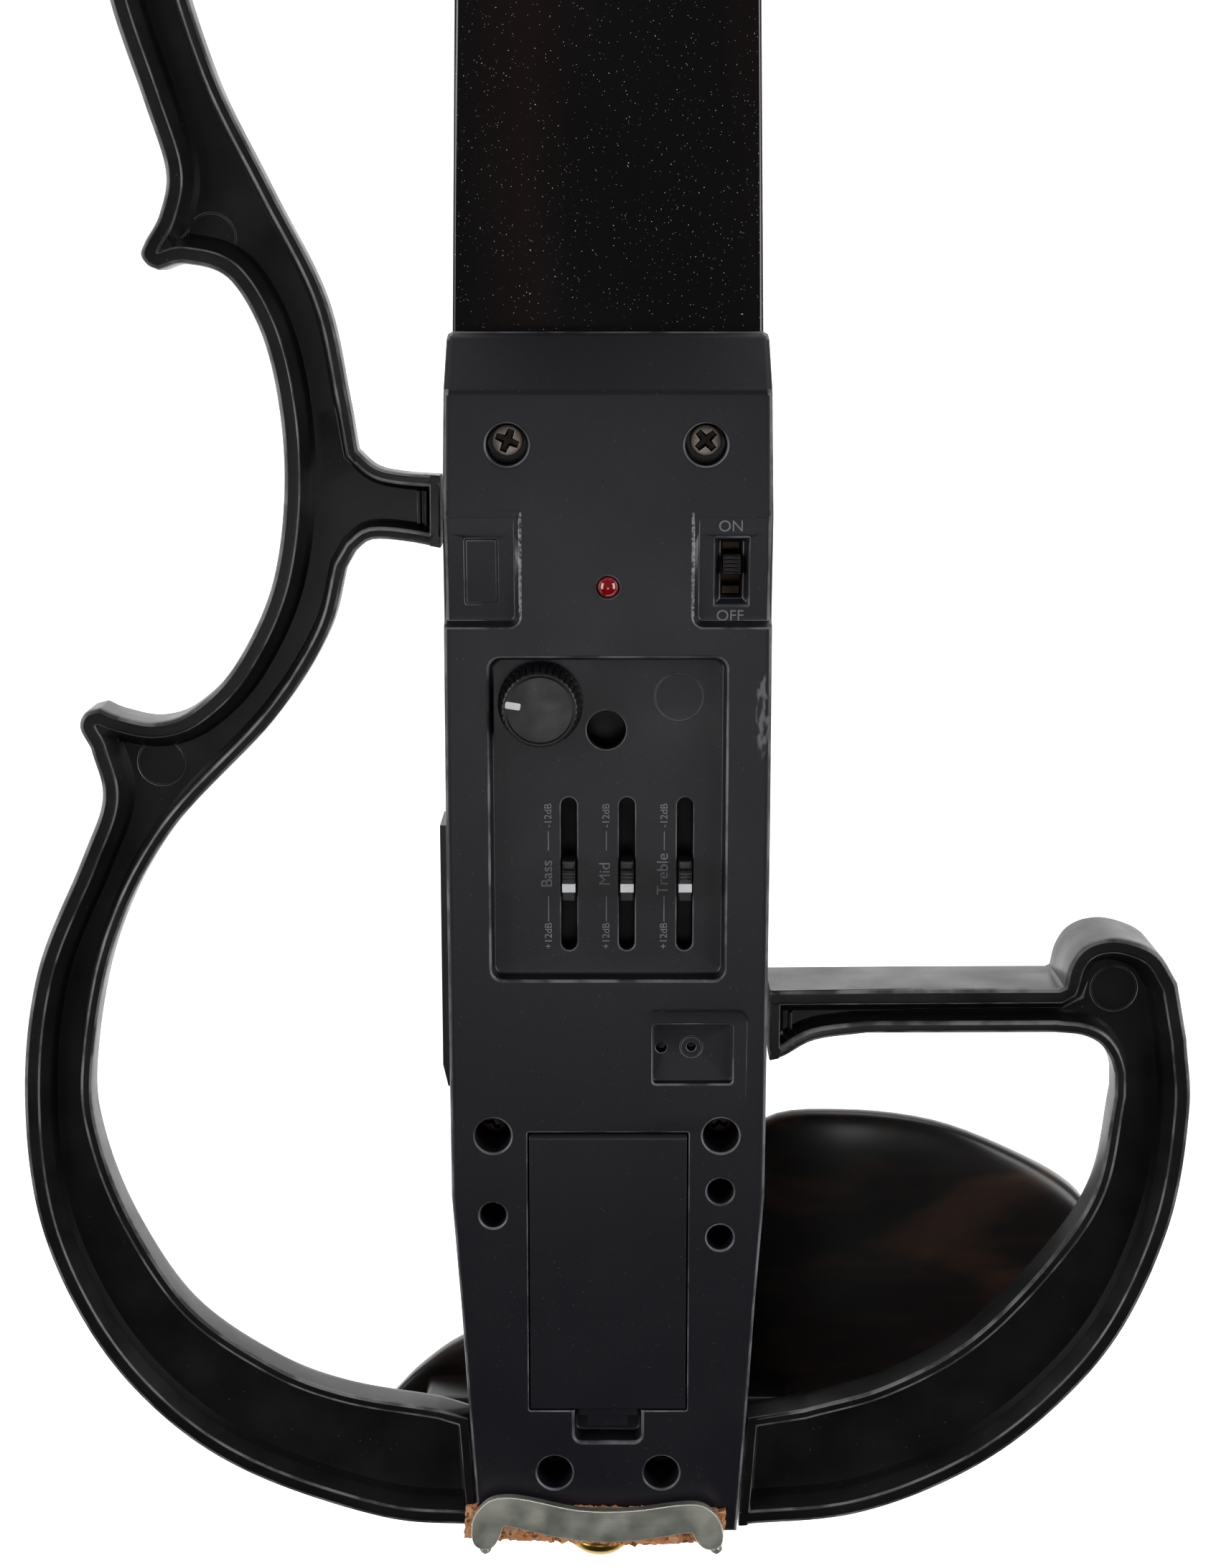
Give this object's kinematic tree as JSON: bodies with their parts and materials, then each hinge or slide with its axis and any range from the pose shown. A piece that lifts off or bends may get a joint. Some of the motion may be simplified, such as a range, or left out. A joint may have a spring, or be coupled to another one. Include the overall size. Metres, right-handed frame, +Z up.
{
  "type": "electric violin",
  "caption": "Full-size electric violin with a slim core, open bout frames, a rear control housing, a chin rest, strings and fine tuners.",
  "frame": {"origin": "centre of the neck just below the nut, where a wall hanger's fork carries the violin", "axes": "+Z up the neck to the scroll, +Y out of the strings' side, +X to the bass side; the back faces -Y"},
  "size_m": [0.2075, 0.0898, 0.6054],
  "materials": {
    "gloss_wood": "polished black lacquer with a fine silver fleck",
    "maple": "satin",
    "ebony": "oiled, with brown streaks",
    "brass": "satin",
    "nylon": "satin",
    "cork": "raw granular cork",
    "steel": "satin",
    "dark_steel": "bronze-grey plating",
    "frame_plastic": "moulded, satin",
    "housing_plastic": "moulded, fine texture",
    "battery_case": "printed steel case",
    "component": "moulded",
    "circuit_board": "solder mask",
    "knob_plastic": "moulded with white marks",
    "red_lens": "clear red",
    "string_steel": "wound steel"
  },
  "bodies": {
    "violin": {"body_core": "gloss_wood", "neck": "maple", "fingerboard": "ebony", "nut": "ebony", "bridge": "maple", "bridge_pickup": "brass", "tailpiece": "ebony", "tail_gut": "nylon", "tail_saddle": "ebony", "end_button": "brass", "chin_rest": "ebony", "chin_rest_cork": "cork", "chin_bracket": "steel", "clamp_foot": "steel", "clamp_cork": "cork", "treble_frame": "frame_plastic", "bass_frame": "frame_plastic", "control_housing": "housing_plastic", "battery": "battery_case", "battery_contacts": "component", "circuit_board": "circuit_board", "volume_pot": "component", "power_switch": "dark_steel", "led": "red_lens", "housing_screw_treble": "dark_steel", "housing_screw_bass": "dark_steel", "jack_panel": "housing_plastic", "line_jack": "steel", "phones_jack": "steel", "slider_pot_low": "component", "slider_pot_mid": "component", "slider_pot_high": "component", "string_g": "string_steel", "string_d": "string_steel", "string_a": "string_steel", "string_e": "string_steel"},
    "peg_g_turning": {"peg_g": "ebony", "string_winding_g": "string_steel"},
    "tuner_screw_g_turning": {"tuner_screw_g": "steel"},
    "tuner_lever_g_tilting": {"tuner_lever_g": "steel"},
    "peg_d_turning": {"peg_d": "ebony", "string_winding_d": "string_steel"},
    "tuner_screw_d_turning": {"tuner_screw_d": "steel"},
    "tuner_lever_d_tilting": {"tuner_lever_d": "steel"},
    "peg_a_turning": {"peg_a": "ebony", "string_winding_a": "string_steel"},
    "tuner_screw_a_turning": {"tuner_screw_a": "steel"},
    "tuner_lever_a_tilting": {"tuner_lever_a": "steel"},
    "peg_e_turning": {"peg_e": "ebony", "string_winding_e": "string_steel"},
    "tuner_screw_e_turning": {"tuner_screw_e": "steel"},
    "tuner_lever_e_tilting": {"tuner_lever_e": "steel"},
    "slider_low_sliding": {"slider_cap_low": "knob_plastic"},
    "slider_mid_sliding": {"slider_cap_mid": "knob_plastic"},
    "slider_high_sliding": {"slider_cap_high": "knob_plastic"},
    "volume_knob_turning": {"volume_knob": "knob_plastic"},
    "power_switch_sliding": {"power_switch_actuator": "knob_plastic"},
    "battery_door_opening": {"battery_door": "housing_plastic"},
    "clamp_barrel_treble_turning": {"clamp_barrel_treble": "steel"},
    "clamp_barrel_bass_turning": {"clamp_barrel_bass": "steel"}
  },
  "joints": [
    {"name": "peg_g_turn", "type": "hinge", "parent": "violin", "child": "peg_g_turning", "pos_m": [0, -0.0108, 0.0205], "axis": [1, 0, 0], "continuous": true},
    {"name": "tuner_screw_g_turn", "type": "hinge", "parent": "violin", "child": "tuner_screw_g_turning", "pos_m": [0.0144, 0.03482, -0.392], "axis": [0, 0.9957, -0.0927], "range_deg": [-360, 360]},
    {"name": "tuner_lever_g_tilt", "type": "hinge", "parent": "violin", "child": "tuner_lever_g_tilting", "pos_m": [0.0144, 0.03433, -0.37789], "axis": [1, 0, 0], "range_deg": [-2.3, 2.3]},
    {"name": "peg_d_turn", "type": "hinge", "parent": "violin", "child": "peg_d_turning", "pos_m": [0, -0.013, 0.044], "axis": [1, 0, 0], "continuous": true},
    {"name": "tuner_screw_d_turn", "type": "hinge", "parent": "violin", "child": "tuner_screw_d_turning", "pos_m": [0.0048, 0.03482, -0.392], "axis": [0, 0.9957, -0.0927], "range_deg": [-360, 360]},
    {"name": "tuner_lever_d_tilt", "type": "hinge", "parent": "violin", "child": "tuner_lever_d_tilting", "pos_m": [0.0048, 0.03433, -0.37789], "axis": [1, 0, 0], "range_deg": [-2.3, 2.3]},
    {"name": "peg_a_turn", "type": "hinge", "parent": "violin", "child": "peg_a_turning", "pos_m": [0, -0.0137, 0.0555], "axis": [1, 0, 0], "continuous": true},
    {"name": "tuner_screw_a_turn", "type": "hinge", "parent": "violin", "child": "tuner_screw_a_turning", "pos_m": [-0.0048, 0.03482, -0.392], "axis": [0, 0.9957, -0.0927], "range_deg": [-360, 360]},
    {"name": "tuner_lever_a_tilt", "type": "hinge", "parent": "violin", "child": "tuner_lever_a_tilting", "pos_m": [-0.0048, 0.03433, -0.37789], "axis": [1, 0, 0], "range_deg": [-2.3, 2.3]},
    {"name": "peg_e_turn", "type": "hinge", "parent": "violin", "child": "peg_e_turning", "pos_m": [0, -0.0119, 0.0323], "axis": [1, 0, 0], "continuous": true},
    {"name": "tuner_screw_e_turn", "type": "hinge", "parent": "violin", "child": "tuner_screw_e_turning", "pos_m": [-0.0144, 0.03482, -0.392], "axis": [0, 0.9957, -0.0927], "range_deg": [-360, 360]},
    {"name": "tuner_lever_e_tilt", "type": "hinge", "parent": "violin", "child": "tuner_lever_e_tilting", "pos_m": [-0.0144, 0.03433, -0.37789], "axis": [1, 0, 0], "range_deg": [-2.3, 2.3]},
    {"name": "slider_low_slide", "type": "slide", "parent": "violin", "child": "slider_low_sliding", "axis": [0, 0, 1], "range_m": [-0.0092, 0.0102]},
    {"name": "slider_mid_slide", "type": "slide", "parent": "violin", "child": "slider_mid_sliding", "axis": [0, 0, 1], "range_m": [-0.0092, 0.0102]},
    {"name": "slider_high_slide", "type": "slide", "parent": "violin", "child": "slider_high_sliding", "axis": [0, 0, 1], "range_m": [-0.0092, 0.0102]},
    {"name": "volume_turn", "type": "hinge", "parent": "violin", "child": "volume_knob_turning", "pos_m": [-0.0116, -0.015, -0.3264], "axis": [0, 1, 0], "range_deg": [-65, 235]},
    {"name": "power_switch_slide", "type": "slide", "parent": "violin", "child": "power_switch_sliding", "axis": [0, 0, 1], "range_m": [-0.003, 0]},
    {"name": "battery_door_open", "type": "hinge", "parent": "violin", "child": "battery_door_opening", "pos_m": [0, -0.01685, -0.40445], "axis": [-1, 0, 0], "range_deg": [0, 100]},
    {"name": "clamp_barrel_treble_turn", "type": "hinge", "parent": "violin", "child": "clamp_barrel_treble_turning", "pos_m": [-0.0224, 0.007, -0.4824], "axis": [0, 1, 0], "continuous": true},
    {"name": "clamp_barrel_bass_turn", "type": "hinge", "parent": "violin", "child": "clamp_barrel_bass_turning", "pos_m": [0.0198, 0.007, -0.4824], "axis": [0, 1, 0], "continuous": true}
  ],
  "couplings": [
    {"joint": "tuner_screw_g_turn", "follows": "tuner_lever_g_tilt", "ratio": 156.25},
    {"joint": "tuner_screw_d_turn", "follows": "tuner_lever_d_tilt", "ratio": 156.25},
    {"joint": "tuner_screw_a_turn", "follows": "tuner_lever_a_tilt", "ratio": 156.25},
    {"joint": "tuner_screw_e_turn", "follows": "tuner_lever_e_tilt", "ratio": 156.25}
  ]
}
